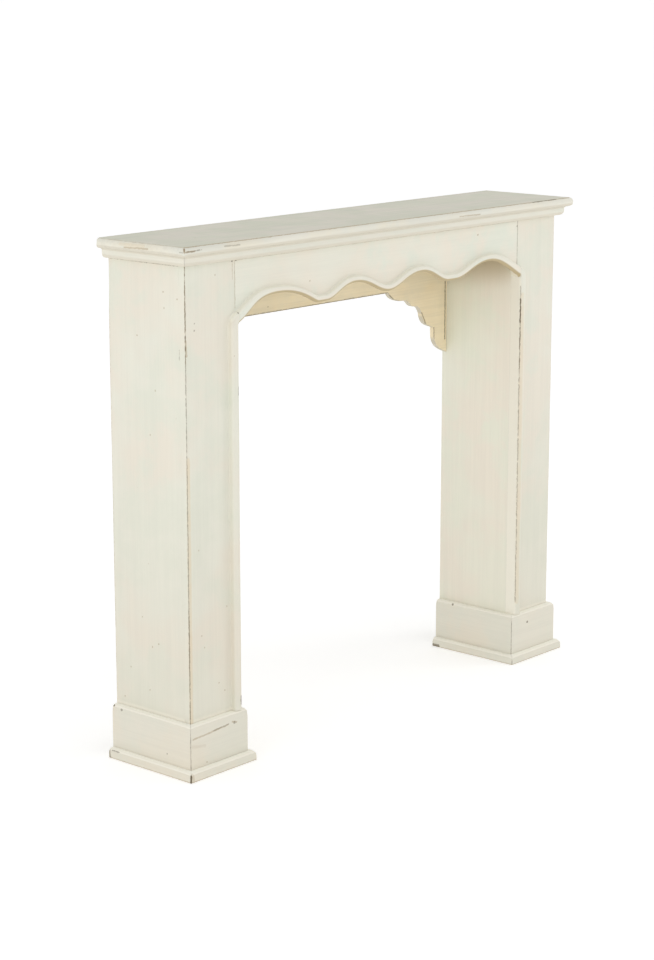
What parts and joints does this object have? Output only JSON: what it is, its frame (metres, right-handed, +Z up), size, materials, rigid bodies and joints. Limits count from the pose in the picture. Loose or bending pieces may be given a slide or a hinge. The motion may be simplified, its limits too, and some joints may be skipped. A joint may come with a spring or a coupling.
{
  "type": "fireplace mantelpiece",
  "caption": "Free-standing painted wooden fire surround: box legs on plinths, scalloped and beaded frieze, moulded cornice under a thin shelf, shaped board at the back.",
  "frame": {"origin": "on the floor, under the middle of the shelf", "axes": "+X along the shelf to the right as seen from the front, +Y from the front to the wall, +Z up"},
  "size_m": [1.2, 0.232, 1.02],
  "materials": {
    "board_paint": "old cream paint on boards, eggshell sheen, brown wood showing on worn arrises and joints",
    "moulding_paint": "old cream paint on mouldings, plinths and shoes, rubbed through on the arrises",
    "shelf_paint": "greyer cream paint with streaks along the grain, rubbed and dirty",
    "back_paint": "duller, yellowed cream paint inside and behind"
  },
  "bodies": {
    "root": {"top_shelf": "shelf_paint", "cornice_front": "moulding_paint", "cornice_left": "moulding_paint", "cornice_right": "moulding_paint", "frieze_board": "board_paint", "left_stile": "board_paint", "right_stile": "board_paint", "left_outer_board": "board_paint", "left_inner_board": "board_paint", "right_outer_board": "board_paint", "right_inner_board": "board_paint", "back_board": "back_paint", "left_plinth_front": "moulding_paint", "left_plinth_outer": "moulding_paint", "left_plinth_inner": "moulding_paint", "right_plinth_front": "moulding_paint", "right_plinth_outer": "moulding_paint", "right_plinth_inner": "moulding_paint", "left_shoe_front": "moulding_paint", "left_shoe_outer": "moulding_paint", "left_shoe_inner": "moulding_paint", "right_shoe_front": "moulding_paint", "right_shoe_outer": "moulding_paint", "right_shoe_inner": "moulding_paint"}
  },
  "joints": []
}
